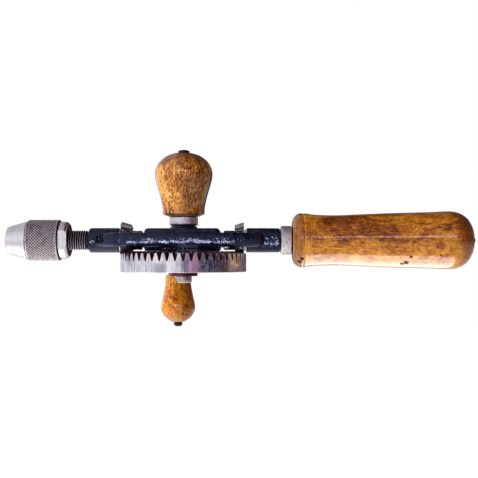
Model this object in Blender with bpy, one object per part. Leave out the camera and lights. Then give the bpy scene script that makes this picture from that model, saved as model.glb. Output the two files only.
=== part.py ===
"""Hand-cranked double-pinion hand drill, one object for each physical piece.

Frame: the spindle lies along X with the chuck at -X and the long handle at +X. The gear turns about Z,
below the spindle, and the side handle stands above it. The origin is where the two axes cross.
Lengths in the functions below are millimetres; place() turns them into metres.
"""

import math

import bmesh
import bpy
from mathutils import Matrix, Vector

MM = 0.001
GAP = 0.3

# Bevel gear pair. All tooth lines meet at the origin.
GEAR_TEETH = 52
PINION_TEETH = 13
GEAR_RADIUS = 42.0
GEAR_FACE_INNER = 34.5
GEAR_TIP_Z = -8.9
GEAR_ROOT_Z = -13.8
GEAR_BOTTOM_Z = -21.2
GEAR_TIP_HALF = 0.785
GEAR_FLANK_DEG = 14.5
PINION_TIP_SLOPE = 12.6 / 42.0
PINION_ROOT_SLOPE = 8.35 / 42.0
BACKLASH_ANGLE = math.radians(1.5)
PINION_WIDEST_SPACE = 0.91
DRIVE_PINION = (-41.7, -34.6, -27.8)
IDLER_PINION = (40.5, 34.3, 26.9)
PINION_HUB_RADIUS = 6.5

# Crank
ARM_ANGLE = math.radians(98.0)
ARM_LENGTH = 57.0
ARM_TOP_Z = -22.0
ARM_BOTTOM_Z = -24.0
ARM_HUB_HALF = 9.35
ARM_END_HALF = 7.2
RIVET_RADIUS_FROM_AXIS = 7.6
RIVET_SPREAD = math.radians(35.0)
AXLE_RADIUS = 5.0

# Spindle and chuck
SPINDLE_RADIUS = 4.75
THREAD_RADIUS = 6.6
CHUCK_NOSE_X = -118.0
JAW_TILT = math.radians(15.0)
JAW_RADIUS = 2.05
JAW_TIP_X = -114.2
JAW_BACK_X = -95.0
JAW_TIP_OFFSET = 4.15
JAW_GRIP = 3.24
JAW_WEDGE = 2.97
JAW_TRIM = 10.8
PIN_X = -31.4

# Frame
WEB_X = 24.8
BAR_HALF_HEIGHT = 4.7
BOSS_FRONT_X = -63.3
BOSS_REAR_X = -43.0
BOSS_RADIUS = 8.3
NECK_FRONT_X = 42.1
NECK_REAR_X = 64.6
IDLER_AXLE_RADIUS = 3.0
ROD_RADIUS = 3.0


def clear_scene():
    for obj in list(bpy.data.objects):
        bpy.data.objects.remove(obj, do_unlink=True)


def material(name, colour, metallic, roughness):
    made = bpy.data.materials.new(name)
    made.use_nodes = True
    shader = made.node_tree.nodes["Principled BSDF"]
    shader.inputs["Base Color"].default_value = (*colour, 1.0)
    shader.inputs["Metallic"].default_value = metallic
    shader.inputs["Roughness"].default_value = roughness
    made.diffuse_color = (*colour, 1.0)
    return made


def turned(axis, along, out, angle):
    """A point `along` the axis and `out` from it, at `angle` round it."""
    if axis == "X":
        return (along, out * math.sin(angle), out * math.cos(angle))
    return (out * math.cos(angle), out * math.sin(angle), along)


def lathe(profile, axis, segments=40):
    """A closed turned solid. Profile points are (along, out); a radius of 0 closes on the axis."""
    mesh = bmesh.new()
    rings = []
    for along, out in profile:
        if out == 0:
            rings.append([mesh.verts.new(turned(axis, along, 0.0, 0.0))])
            continue
        steps = [2 * math.pi * i / segments for i in range(segments)]
        rings.append([mesh.verts.new(turned(axis, along, out, step)) for step in steps])
    bored = all(out > 0 for _, out in profile)
    pairs = list(zip(rings, rings[1:]))
    if bored:
        pairs.append((rings[-1], rings[0]))
    for low, high in pairs:
        for i in range(segments):
            j = (i + 1) % segments
            corners = [low[i % len(low)], low[j % len(low)], high[j % len(high)], high[i % len(high)]]
            unique = list(dict.fromkeys(corners))
            if len(unique) > 2:
                mesh.faces.new(unique)
    bmesh.ops.recalc_face_normals(mesh, faces=mesh.faces)
    return mesh


def loft(sections):
    """A closed solid through rings of points that all hold the same number of points."""
    mesh = bmesh.new()
    rings = [[mesh.verts.new(point) for point in section] for section in sections]
    count = len(rings[0])
    for low, high in zip(rings, rings[1:]):
        for i in range(count):
            j = (i + 1) % count
            mesh.faces.new((low[i], low[j], high[j], high[i]))
    mesh.faces.new(rings[0])
    mesh.faces.new(rings[-1])
    bmesh.ops.recalc_face_normals(mesh, faces=mesh.faces)
    return mesh


def prism(outline, low, high):
    """An outline in X and Y, extruded from `low` to `high` in Z."""
    return loft([[(x, y, low) for x, y in outline], [(x, y, high) for x, y in outline]])


def box(low, high):
    outline = [(low[0], low[1]), (high[0], low[1]), (high[0], high[1]), (low[0], high[1])]
    return prism(outline, low[2], high[2])


def rounded_section(half_width, half_height, power, count):
    """Points of a rounded rectangle, as (across, up)."""
    points = []
    for i in range(count):
        angle = 2 * math.pi * (i + 0.5) / count
        across = math.copysign(abs(math.cos(angle)) ** (2 / power), math.cos(angle))
        up = math.copysign(abs(math.sin(angle)) ** (2 / power), math.sin(angle))
        points.append((half_width * across, half_height * up))
    return points


def bevel(mesh, width, segments=3):
    edges = [edge for edge in mesh.edges if edge.calc_face_angle(0.0) > math.radians(30)]
    bmesh.ops.bevel(
        mesh, geom=edges, offset=width, segments=segments, affect="EDGES", profile=0.5, clamp_overlap=True
    )
    return mesh


def place(name, mesh, finish=None, origin=(0.0, 0.0, 0.0), matrix=None):
    """Makes an object from a mesh in millimetres, with its origin at `origin`."""
    if matrix is not None:
        mesh.transform(matrix)
    mesh.transform(Matrix.Scale(MM, 4) @ Matrix.Translation(-Vector(origin)))
    data = bpy.data.meshes.new(name)
    mesh.to_mesh(data)
    mesh.free()
    obj = bpy.data.objects.new(name, data)
    obj.location = Vector(origin) * MM
    bpy.context.scene.collection.objects.link(obj)
    if finish is not None:
        data.materials.append(finish)
    data.shade_smooth()
    data.set_sharp_from_angle(angle=math.radians(32))
    return obj


def helper(name, mesh, origin=(0.0, 0.0, 0.0), matrix=None):
    obj = place(name, mesh, None, origin, matrix)
    obj.hide_render = True
    obj.display_type = "WIRE"
    return obj


def boolean(target, other, operation):
    made = target.modifiers.new(operation.title() + "_" + other.name, "BOOLEAN")
    made.operation = operation
    made.solver = "EXACT"
    made.object = other


def cut(target, name, mesh, matrix=None):
    boolean(target, helper(name, mesh, matrix=matrix), "DIFFERENCE")


def join(target, name, mesh, matrix=None):
    boolean(target, helper(name, mesh, matrix=matrix), "UNION")


def cylinder(axis, start, end, radius, segments=32):
    return lathe([(start, 0), (start, radius), (end, radius), (end, 0)], axis, segments)


def tube(axis, start, end, inner, outer, chamfer, segments=28):
    profile = [
        (start, inner),
        (start, outer - chamfer),
        (start + chamfer, outer),
        (end - chamfer, outer),
        (end, outer - chamfer),
        (end, inner),
    ]
    return lathe(profile, axis, segments)


def to_point(x, y):
    """Moves what is modelled about the Z axis to the axis through (x, y)."""
    return Matrix.Translation((x, y, 0.0))


# ---- frame ----


def bar_mesh(side):
    """One side bar of the frame, from the front boss round the gears to the rear neck."""
    path = [
        (-58.5, 3.0, 3.4, 4.0),
        (-54.0, 8.2, 3.3, 4.4),
        (-49.5, 12.6, 3.2, BAR_HALF_HEIGHT),
        (-43.5, 16.4, 3.0, BAR_HALF_HEIGHT),
        (-36.0, 18.2, 2.8, BAR_HALF_HEIGHT),
        (-24.0, 19.0, 2.8, BAR_HALF_HEIGHT),
        (0.0, 19.4, 2.8, BAR_HALF_HEIGHT),
        (22.0, 19.0, 2.8, BAR_HALF_HEIGHT),
        (33.0, 18.4, 2.8, BAR_HALF_HEIGHT),
        (39.8, 17.0, 3.0, BAR_HALF_HEIGHT),
        (45.2, 13.4, 3.2, BAR_HALF_HEIGHT),
        (49.2, 8.6, 3.3, 4.4),
        (53.0, 3.0, 3.4, 4.0),
    ]
    sections = []
    for i, (x, y, half_width, half_height) in enumerate(path):
        before = path[max(i - 1, 0)]
        after = path[min(i + 1, len(path) - 1)]
        run = Vector((after[0] - before[0], after[1] - before[1])).normalized()
        ring = rounded_section(half_width, half_height, 2.4, 20)
        sections.append([(x - run.y * a, side * (y + run.x * a), up) for a, up in ring])
    return loft(sections)


def yoke_outline(inner_x, outer_x, sign):
    """The plate that ties the bars to the boss at one end of the frame."""
    reach = abs(outer_x - inner_x)
    half = [(0.0, 15.6), (0.30, 14.6), (0.62, 10.4), (1.0, 5.0)]
    near = [(inner_x + sign * reach * share, y) for share, y in half]
    far = [(x, -y) for x, y in reversed(near)]
    return near + far


def frame_casting(finish):
    web = bevel(box((-WEB_X, -18.6, -7.8), (WEB_X, 18.6, 7.6)), 2.4)
    frame = place("frame_casting", web, finish)
    for name, side in (("near", -1), ("far", 1)):
        join(frame, "frame_bar_" + name, bar_mesh(side))
    front = prism(yoke_outline(BOSS_REAR_X, -57.0, -1), -4.0, 4.0)
    join(frame, "frame_front_yoke", bevel(front, 0.9, 2))
    rear = prism(yoke_outline(NECK_FRONT_X, 52.0, 1), -4.0, 4.0)
    join(frame, "frame_rear_yoke", bevel(rear, 0.9, 2))
    boss = [
        (BOSS_FRONT_X, 0),
        (BOSS_FRONT_X, BOSS_RADIUS - 1.2),
        (BOSS_FRONT_X + 0.35, BOSS_RADIUS - 0.45),
        (BOSS_FRONT_X + 1.1, BOSS_RADIUS),
        (BOSS_REAR_X - 0.5, BOSS_RADIUS),
        (BOSS_REAR_X, BOSS_RADIUS - 0.5),
        (BOSS_REAR_X, 0),
    ]
    join(frame, "frame_front_boss", lathe(boss, "X", 40))
    neck = []
    for x, half in ((NECK_FRONT_X, 7.9), (42.7, 8.2), (54.0, 8.2), (64.0, 8.1), (NECK_REAR_X, 7.6)):
        neck.append([(x, across, up) for across, up in rounded_section(half * 0.96, half, 2.7, 32)])
    join(frame, "frame_rear_neck", loft(neck))
    saddle = [(5.0, 0), (5.0, 10.6), (7.6, 10.4), (8.3, 9.2), (9.0, 8.7), (9.6, 8.6), (9.6, 0)]
    join(frame, "frame_top_boss", lathe(saddle, "Z", 40))
    cut(frame, "cut_spindle_bore", cylinder("X", -70.0, -17.0, SPINDLE_RADIUS + GAP))
    cut(frame, "cut_idler_bore", cylinder("X", 17.0, 47.3, IDLER_AXLE_RADIUS + GAP, 24))
    cut(frame, "cut_rod_bore", cylinder("X", 49.7, 70.0, ROD_RADIUS + GAP, 24))
    cut(frame, "cut_axle_bore", cylinder("Z", -12.0, -0.5, 4.0 + GAP, 24))
    cut(frame, "cut_stud_bore", cylinder("Z", 2.0, 14.0, 3.2 + GAP, 24))
    pocket = Matrix.Translation((-53.9, -10.9, 1.25)) @ Matrix.Rotation(math.radians(-42.0), 4, "Z")
    cut(frame, "cut_front_pocket", box((-3.9, -2.6, -2.6), (3.9, 1.2, 2.6)), pocket)
    return frame


# ---- handles ----


def handle_rod(finish):
    profile = [
        (50.0, 0),
        (50.0, ROD_RADIUS - 0.5),
        (50.5, ROD_RADIUS),
        (184.5, ROD_RADIUS),
        (185.0, 2.1),
        (195.4, 2.1),
        (195.9, 1.6),
        (196.1, 0),
    ]
    place("handle_rod", lathe(profile, "X", 24), finish)


def ferrule(name, axis, start, end, inner, finish):
    """A cast ring with rounded rims between the frame and a handle."""
    profile = [
        (start, inner),
        (start, 8.7),
        (start + 0.35, 9.35),
        (start + 1.0, 9.65),
        (end - 0.9, 9.65),
        (end - 0.3, 9.4),
        (end, 8.9),
        (end, inner),
    ]
    place(name, lathe(profile, axis, 36), finish)


def main_handle(finish):
    profile = [
        (72.9, ROD_RADIUS + GAP),
        (72.9, 9.6),
        (73.15, 12.6),
        (73.9, 15.0),
        (75.3, 16.7),
        (77.2, 17.8),
        (79.2, 18.3),
        (81.2, 18.35),
        (84.0, 17.75),
        (88.5, 17.2),
        (95.0, 16.9),
        (104.0, 16.85),
        (116.0, 17.35),
        (128.0, 17.85),
        (140.0, 18.3),
        (152.0, 18.65),
        (164.0, 18.95),
        (172.0, 19.3),
        (178.0, 19.5),
        (181.5, 19.2),
        (184.6, 18.4),
        (187.4, 17.0),
        (189.8, 15.0),
        (191.8, 12.2),
        (193.3, 8.8),
        (194.3, 5.0),
        (194.6, 2.1 + GAP),
        (186.0, 2.1 + GAP),
        (185.5, ROD_RADIUS + GAP),
    ]
    place("main_handle", lathe(profile, "X", 36), finish)


def side_handle_stud(finish):
    profile = [
        (2.3, 0),
        (2.3, 2.8),
        (2.7, 3.2),
        (59.1, 3.2),
        (59.1, 3.9),
        (59.9, 3.9),
        (60.5, 3.2),
        (60.8, 0),
    ]
    place("side_handle_stud", lathe(profile, "Z", 24), finish)


def side_handle_knob(finish):
    profile = [
        (16.0, 3.2 + GAP),
        (16.0, 11.4),
        (16.4, 12.7),
        (17.3, 13.5),
        (18.6, 13.8),
        (21.5, 14.15),
        (25.5, 14.85),
        (30.0, 15.95),
        (34.5, 17.25),
        (38.5, 18.4),
        (41.5, 19.1),
        (44.2, 19.35),
        (46.6, 19.15),
        (49.2, 18.35),
        (51.8, 16.95),
        (54.0, 15.0),
        (55.9, 12.6),
        (57.3, 9.9),
        (58.4, 6.4),
        (58.8, 3.2 + GAP),
    ]
    place("side_handle_knob", lathe(profile, "Z", 36), finish)


# ---- gears ----


def pinion_space(slope):
    """Half the angle, seen from the pinion's axis, that a passing gear tooth sweeps at this cone slope."""
    flank = math.tan(math.radians(GEAR_FLANK_DEG))
    wide = (GEAR_TIP_HALF + GEAR_TIP_Z * flank) / GEAR_RADIUS
    highest = GEAR_TIP_Z / GEAR_RADIUS
    found = 0.0
    for i in range(-600, 601):
        turn = math.radians(i * 0.1)
        x = 1.0
        y = slope * math.sin(turn)
        z = -slope * math.cos(turn)
        size = math.hypot(x + wide * y, y - wide * x)
        level = -flank * z / size
        if abs(level) > 1.0:
            continue
        roll = math.atan2(y - wide * x, x + wide * y) - math.asin(level)
        ahead = x * math.cos(roll) + y * math.sin(roll)
        if z / ahead > highest + 1e-4:
            continue
        found = max(found, turn - GEAR_TEETH / PINION_TEETH * roll)
    return found


def pinion_outline(x):
    """The toothed outline at this distance from the origin, as (y, z) points. A space faces -Z."""
    pitch = 2 * math.pi / PINION_TEETH
    slopes = [PINION_ROOT_SLOPE + (PINION_TIP_SLOPE - PINION_ROOT_SLOPE) * i / 5 for i in range(6)]
    widest = pitch / 2 * PINION_WIDEST_SPACE
    halves = [pitch / 2 - min(pinion_space(slope) + BACKLASH_ANGLE, widest) for slope in slopes]
    points = []
    for tooth in range(PINION_TEETH):
        middle = (tooth + 0.5) * pitch
        flank = list(zip(slopes, halves))
        for slope, half in flank:
            points.append((slope * x, middle - half))
        for slope, half in reversed(flank):
            points.append((slope * x, middle + half))
    return [(-radius * math.sin(angle), -radius * math.cos(angle)) for radius, angle in points]


def pinion_mesh(big_x, small_x):
    sections = []
    for x in (big_x, small_x):
        sections.append([(x, y, z) for y, z in pinion_outline(abs(x))])
    return loft(sections)


def pinion(name, span, bore, finish):
    big_x, small_x, hub_x = span
    toward = 1.0 if hub_x > small_x else -1.0
    made = place(name, pinion_mesh(big_x, small_x), finish)
    hub = [
        (big_x + toward * 0.8, 0),
        (big_x + toward * 0.8, PINION_HUB_RADIUS),
        (hub_x - toward * 0.5, PINION_HUB_RADIUS),
        (hub_x, PINION_HUB_RADIUS - 0.5),
        (hub_x, 0),
    ]
    join(made, name + "_hub", lathe(hub, "X", 32))
    low, high = sorted((big_x, hub_x))
    cut(made, "cut_" + name + "_bore", cylinder("X", low - 2.0, high + 2.0, bore, 28))
    return made


def gear_ring_points(radius):
    """The toothed edge at this radius: lists of (angle, height), with heights drawn towards the origin."""
    share = radius / GEAR_RADIUS
    pitch = 2 * math.pi / GEAR_TEETH
    flank = math.tan(math.radians(GEAR_FLANK_DEG))
    depth = GEAR_TIP_Z - GEAR_ROOT_Z
    root_half = GEAR_TIP_HALF + depth * flank
    points = []
    for tooth in range(GEAR_TEETH):
        middle = tooth * pitch
        edge = [
            (-root_half, GEAR_ROOT_Z),
            (-GEAR_TIP_HALF, GEAR_TIP_Z),
            (GEAR_TIP_HALF, GEAR_TIP_Z),
            (root_half, GEAR_ROOT_Z),
        ]
        for across, height in edge:
            points.append((middle + math.atan(across / GEAR_RADIUS), height * share))
    return points


def gear_rim_mesh():
    """The toothed rim as one closed ring."""
    mesh = bmesh.new()
    outer = gear_ring_points(GEAR_RADIUS)
    inner = gear_ring_points(GEAR_FACE_INNER)
    rows = []
    for i, ((angle, top), (_, inner_top)) in enumerate(zip(outer, inner)):
        turn = (math.cos(angle), math.sin(angle))
        ring = [
            (GEAR_RADIUS, top),
            (GEAR_FACE_INNER, inner_top),
            (GEAR_FACE_INNER, -16.4),
            (38.6, -17.2),
            (39.4, GEAR_BOTTOM_Z),
            (GEAR_RADIUS, GEAR_BOTTOM_Z),
        ]
        rows.append([mesh.verts.new((r * turn[0], r * turn[1], z)) for r, z in ring])
    for row, following in zip(rows, rows[1:] + rows[:1]):
        for i in range(len(row)):
            j = (i + 1) % len(row)
            mesh.faces.new((row[i], row[j], following[j], following[i]))
    bmesh.ops.recalc_face_normals(mesh, faces=mesh.faces)
    return mesh


def drive_gear(finish):
    gear = place("drive_gear", gear_rim_mesh(), finish)
    disc = [(-16.2, 0), (-16.2, 35.6), (-13.4, 35.6), (-13.4, 0)]
    join(gear, "gear_disc", lathe(disc, "Z", 52))
    hub = [(-21.7, 0), (-21.7, 10.6), (-21.3, 11.0), (-10.0, 11.0), (-9.6, 10.6), (-9.6, 0)]
    join(gear, "gear_hub", lathe(hub, "Z", 36))
    cut(gear, "cut_gear_bore", cylinder("Z", -30.0, -5.0, AXLE_RADIUS + GAP, 28))
    for i in range(5):
        angle = ARM_ANGLE + math.radians(36.0 + 72.0 * i)
        spot = to_point(22.6 * math.cos(angle), 22.6 * math.sin(angle))
        cut(gear, "cut_gear_window_" + str(i + 1), cylinder("Z", -30.0, -10.0, 7.6, 24), spot)
    for i, (x, y) in enumerate(rivet_spots()):
        hole = cylinder("Z", -30.0, -16.7, 1.5, 16)
        cut(gear, "cut_gear_rivet_" + str(i + 1), hole, to_point(x, y))


def rivet_spots():
    spots = []
    for side in (-1, 1):
        angle = ARM_ANGLE + side * RIVET_SPREAD
        spots.append((RIVET_RADIUS_FROM_AXIS * math.cos(angle), RIVET_RADIUS_FROM_AXIS * math.sin(angle)))
    return spots


def thrust_washer(name, axis, low, high, inner, outer, finish):
    place(name, tube(axis, low, high, inner, outer, 0.15), finish)


def gear_axle_screw(finish):
    profile = [
        (-0.8, 0),
        (-0.8, 3.6),
        (-1.2, 4.0),
        (-8.1, 4.0),
        (-8.1, AXLE_RADIUS),
        (-24.3, AXLE_RADIUS),
        (-24.3, 5.45),
        (-27.9, 5.45),
        (-28.5, 4.9),
        (-28.5, 0),
    ]
    screw = place("gear_axle_screw", lathe(profile, "Z", 40), finish)
    cut(screw, "cut_axle_slot", box((-9.0, -0.7, -30.0), (9.0, 0.7, -27.3)), Matrix.Rotation(0.6, 4, "Z"))


# ---- crank ----


def arm_outline():
    """The crank arm's outline: a round at each end and straight sides touching both."""
    slant = math.asin((ARM_HUB_HALF - ARM_END_HALF) / ARM_LENGTH)
    points = []
    steps = 18
    for i in range(steps + 1):
        angle = math.pi / 2 - slant + (math.pi + 2 * slant) * i / steps
        points.append((ARM_HUB_HALF * math.cos(angle), ARM_HUB_HALF * math.sin(angle)))
    for i in range(steps + 1):
        angle = -math.pi / 2 + slant + (math.pi - 2 * slant) * i / steps
        points.append((ARM_LENGTH + ARM_END_HALF * math.cos(angle), ARM_END_HALF * math.sin(angle)))
    return points


def knob_axis():
    return (ARM_LENGTH * math.cos(ARM_ANGLE), ARM_LENGTH * math.sin(ARM_ANGLE))


def crank_arm(finish):
    strip = bevel(prism(arm_outline(), ARM_BOTTOM_Z, ARM_TOP_Z), 0.3, 2)
    arm = place("crank_arm", strip, finish, matrix=Matrix.Rotation(ARM_ANGLE, 4, "Z"))
    cut(arm, "cut_arm_bore", cylinder("Z", -30.0, -18.0, AXLE_RADIUS + GAP, 28))
    cut(arm, "cut_arm_end", cylinder("Z", -30.0, -18.0, 2.4 + GAP, 24), to_point(*knob_axis()))
    for i, (x, y) in enumerate(rivet_spots()):
        cut(arm, "cut_arm_rivet_" + str(i + 1), cylinder("Z", -30.0, -18.0, 1.5, 16), to_point(x, y))


def crank_rivets(finish):
    profile = [(-17.0, 0), (-17.0, 1.25), (-24.2, 1.25), (-24.2, 1.75), (-24.8, 1.5), (-25.1, 0)]
    for i, (x, y) in enumerate(rivet_spots()):
        place("crank_rivet_" + str(i + 1), lathe(profile, "Z", 16), finish, matrix=to_point(x, y))


def crank_knob_pin(finish):
    profile = [
        (-20.8, 0),
        (-20.9, 2.2),
        (-21.3, 3.4),
        (-21.75, 3.7),
        (-21.75, 2.4),
        (-59.6, 2.4),
        (-59.6, 3.2),
        (-61.2, 3.2),
        (-62.2, 2.2),
        (-62.5, 0),
    ]
    place("crank_knob_pin", lathe(profile, "Z", 24), finish, matrix=to_point(*knob_axis()))


def crank_knob(finish):
    profile = [
        (-24.3, 2.4 + GAP),
        (-24.3, 8.2),
        (-24.9, 9.0),
        (-26.2, 9.3),
        (-29.0, 9.25),
        (-33.0, 9.7),
        (-37.0, 10.45),
        (-41.0, 11.25),
        (-44.5, 12.05),
        (-47.5, 12.55),
        (-50.0, 12.45),
        (-52.5, 11.55),
        (-54.9, 10.0),
        (-56.9, 7.9),
        (-58.4, 5.6),
        (-59.1, 4.0),
        (-59.3, 2.4 + GAP),
    ]
    x, y = knob_axis()
    place("crank_knob", lathe(profile, "Z", 36), finish, (x, y, -24.3), to_point(x, y))


# ---- spindle and chuck ----


def spindle(finish):
    profile = [
        (-93.0, 0),
        (-93.0, 5.8),
        (-92.2, THREAD_RADIUS),
        (-64.3, THREAD_RADIUS),
        (-63.6, 5.9),
        (-63.6, SPINDLE_RADIUS),
        (-18.8, SPINDLE_RADIUS),
        (-18.3, SPINDLE_RADIUS - 0.5),
        (-18.3, 0),
    ]
    made = place("spindle", lathe(profile, "X", 32), finish)
    cut(made, "cut_spindle_pin", cylinder("Z", -9.0, 9.0, 1.5, 20), to_point(PIN_X, 0.0))


def drive_pinion_pin(finish):
    profile = [(-6.3, 0), (-6.3, 0.9), (-6.0, 1.2), (6.0, 1.2), (6.3, 0.9), (6.3, 0)]
    place("drive_pinion_pin", lathe(profile, "Z", 20), finish, matrix=to_point(PIN_X, 0.0))


def idler_axle(finish):
    radius = IDLER_AXLE_RADIUS
    narrow = radius - 0.4
    profile = [(17.4, 0), (17.4, narrow), (17.8, radius), (46.6, radius), (47.0, narrow), (47.0, 0)]
    place("idler_axle", lathe(profile, "X", 24), finish)


def jaw_matrix(index):
    """Moves a jaw from the X axis onto its tilted bore."""
    round_axis = Matrix.Rotation(math.radians(120.0 * index), 4, "X")
    foot = Matrix.Translation((JAW_TIP_X, 0.0, JAW_TIP_OFFSET))
    return round_axis @ foot @ Matrix.Rotation(-JAW_TILT, 4, "Y")


def chuck_jaw(index, finish):
    name = "chuck_jaw_" + str(index + 1)
    back = (JAW_BACK_X - JAW_TIP_X) / math.cos(JAW_TILT)
    foot = jaw_matrix(index).to_translation()
    jaw = place(name, cylinder("X", -3.0, back, JAW_RADIUS, 20), finish, foot, jaw_matrix(index))
    reach = 12.0
    spread = (reach - JAW_WEDGE) * math.tan(math.radians(60.0))
    narrow = (JAW_GRIP - JAW_WEDGE) * math.tan(math.radians(60.0))
    wedge = []
    for x in (JAW_TIP_X, JAW_BACK_X + 2.0):
        wedge.append([(x, -narrow, JAW_GRIP), (x, narrow, JAW_GRIP), (x, spread, reach), (x, -spread, reach)])
    keep = helper(name + "_wedge", loft(wedge), matrix=Matrix.Rotation(math.radians(120.0 * index), 4, "X"))
    boolean(jaw, keep, "INTERSECT")
    trim = helper(name + "_trim", cylinder("X", JAW_TIP_X - 5.0, JAW_BACK_X + 5.0, JAW_TRIM, 48))
    boolean(jaw, trim, "INTERSECT")


def chuck_body(finish):
    profile = [
        (-93.3, 0),
        (-93.3, THREAD_RADIUS + GAP),
        (-76.7, THREAD_RADIUS + GAP),
        (-76.7, 11.2),
        (-77.7, 12.3),
        (-78.0, 12.4),
        (-82.2, 12.4),
        (-82.5, 12.1),
        (-82.5, 11.1),
        (-103.0, 11.1),
        (-105.3, 10.3),
        (-105.3, 7.6),
        (-109.3, 7.6),
        (-109.3, 8.96),
        (-114.5, 7.2),
        (-114.5, 3.4),
        (-98.0, 3.4),
        (-98.0, 0),
    ]
    body = place("chuck_body", lathe(profile, "X", 40), finish)
    for index in range(3):
        back = (JAW_BACK_X + 0.5 - JAW_TIP_X) / math.cos(JAW_TILT)
        bore = cylinder("X", -6.0, back, JAW_RADIUS + GAP, 20)
        cut(body, "cut_jaw_bore_" + str(index + 1), bore, jaw_matrix(index))
    for name, side in (("near", -1), ("far", 1)):
        low, high = sorted((side * 10.8, side * 16.0))
        cut(body, "cut_flat_" + name, box((-82.4, low, -20.0), (-70.0, high, 20.0)))


def chuck_sleeve(finish):
    profile = [
        (-82.8, 11.4),
        (-82.8, 13.1),
        (-83.45, 13.75),
        (-103.1, 13.75),
        (-104.2, 13.0),
        (-104.5, 12.75),
        (-105.3, 12.65),
        (-116.8, 9.4),
        (-117.6, 9.0),
        (CHUCK_NOSE_X, 8.4),
        (CHUCK_NOSE_X, 6.9),
        (-103.5, 11.4),
    ]
    place("chuck_sleeve", lathe(profile, "X", 44), finish)


def chuck_nut(finish):
    profile = [(-109.0, 7.95), (-109.0, 9.15), (-105.6, 10.3), (-105.6, 8.85)]
    place("chuck_nut", lathe(profile, "X", 36), finish)


def build():
    clear_scene()
    enamel = material("frame_enamel", (0.012, 0.016, 0.045), 0.0, 0.25)
    frame_casting(enamel)
    handle_rod(material("rod_steel", (0.06, 0.055, 0.05), 1.0, 0.5))
    handle_ferrule = material("ferrule_cast", (0.75, 0.74, 0.74), 1.0, 0.5)
    ferrule("handle_ferrule", "X", 65.0, 72.5, ROD_RADIUS + GAP, handle_ferrule)
    main_handle(material("handle_wood", (0.42, 0.18, 0.04), 0.0, 0.25))
    side_handle_stud(material("stud_steel", (0.05, 0.045, 0.04), 1.0, 0.5))
    side_ferrule = material("side_ferrule_cast", (0.78, 0.77, 0.77), 1.0, 0.5)
    ferrule("side_handle_ferrule", "Z", 9.9, 15.7, 3.2 + GAP, side_ferrule)
    side_handle_knob(material("side_knob_wood", (0.42, 0.2, 0.05), 0.0, 0.25))
    gear_axle_screw(material("axle_steel", (0.6, 0.59, 0.58), 1.0, 0.3))
    washer_steel = material("gear_washer_steel", (0.5, 0.5, 0.5), 1.0, 0.4)
    thrust_washer("gear_thrust_washer", "Z", -9.3, -8.1, AXLE_RADIUS + GAP, 10.0, washer_steel)
    drive_gear(material("gear_plate", (0.7, 0.7, 0.72), 1.0, 0.2))
    crank_arm(material("arm_enamel", (0.12, 0.01, 0.02), 0.0, 0.3))
    crank_rivets(material("rivet_steel", (0.4, 0.4, 0.4), 1.0, 0.4))
    crank_knob_pin(material("knob_pin_steel", (0.08, 0.075, 0.07), 1.0, 0.5))
    crank_knob(material("crank_knob_wood", (0.5, 0.2, 0.03), 0.0, 0.25))
    spindle(material("spindle_steel", (0.1, 0.1, 0.1), 1.0, 0.4))
    drive_finish = material("drive_pinion_steel", (0.2, 0.2, 0.2), 1.0, 0.4)
    drive = pinion("drive_pinion", DRIVE_PINION, SPINDLE_RADIUS + 0.25, drive_finish)
    cut(drive, "cut_drive_pin", cylinder("Z", -9.0, 9.0, 1.5, 20), to_point(PIN_X, 0.0))
    drive_pinion_pin(material("pin_steel", (0.4, 0.4, 0.4), 1.0, 0.4))
    drive_washer = material("drive_washer_steel", (0.5, 0.5, 0.5), 1.0, 0.4)
    thrust_washer("drive_thrust_washer", "X", -42.7, -42.0, SPINDLE_RADIUS + GAP, 7.9, drive_washer)
    idler_axle(material("idler_axle_steel", (0.3, 0.3, 0.3), 1.0, 0.4))
    idler_finish = material("idler_pinion_steel", (0.2, 0.2, 0.2), 1.0, 0.4)
    pinion("idler_pinion", IDLER_PINION, IDLER_AXLE_RADIUS + GAP, idler_finish)
    idler_washer = material("idler_washer_steel", (0.5, 0.5, 0.5), 1.0, 0.4)
    thrust_washer("idler_thrust_washer", "X", 40.8, 41.8, IDLER_AXLE_RADIUS + GAP, 7.2, idler_washer)
    chuck_body(material("chuck_body_steel", (0.7, 0.7, 0.7), 1.0, 0.3))
    chuck_sleeve(material("chuck_sleeve_steel", (0.7, 0.7, 0.7), 1.0, 0.35))
    chuck_nut(material("chuck_nut_steel", (0.4, 0.4, 0.4), 1.0, 0.4))
    jaw_finish = material("jaw_steel", (0.3, 0.3, 0.3), 1.0, 0.4)
    for index in range(3):
        chuck_jaw(index, jaw_finish)


build()
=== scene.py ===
"""Looks of the hand-cranked hand drill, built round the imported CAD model.

+X runs along the spindle to the long handle, +Z up the gear axis to the side handle, and the camera looks
along +Y. Lengths in the functions below are millimetres unless they say otherwise.
"""

import math

import bmesh
import bpy
import numpy as np
from mathutils import Matrix, Vector


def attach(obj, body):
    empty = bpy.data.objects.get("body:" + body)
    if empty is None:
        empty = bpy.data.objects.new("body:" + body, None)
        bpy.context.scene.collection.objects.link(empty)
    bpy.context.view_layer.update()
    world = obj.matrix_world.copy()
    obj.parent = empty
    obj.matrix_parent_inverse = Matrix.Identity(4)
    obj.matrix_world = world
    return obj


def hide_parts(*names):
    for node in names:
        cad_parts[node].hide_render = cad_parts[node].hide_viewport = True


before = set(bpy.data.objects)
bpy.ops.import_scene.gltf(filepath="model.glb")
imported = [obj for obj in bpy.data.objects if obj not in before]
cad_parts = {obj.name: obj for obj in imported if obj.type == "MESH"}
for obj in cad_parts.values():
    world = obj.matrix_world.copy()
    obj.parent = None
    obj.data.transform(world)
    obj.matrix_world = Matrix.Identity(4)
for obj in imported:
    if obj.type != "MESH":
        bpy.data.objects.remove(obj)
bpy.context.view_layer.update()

MM = 0.001

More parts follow.
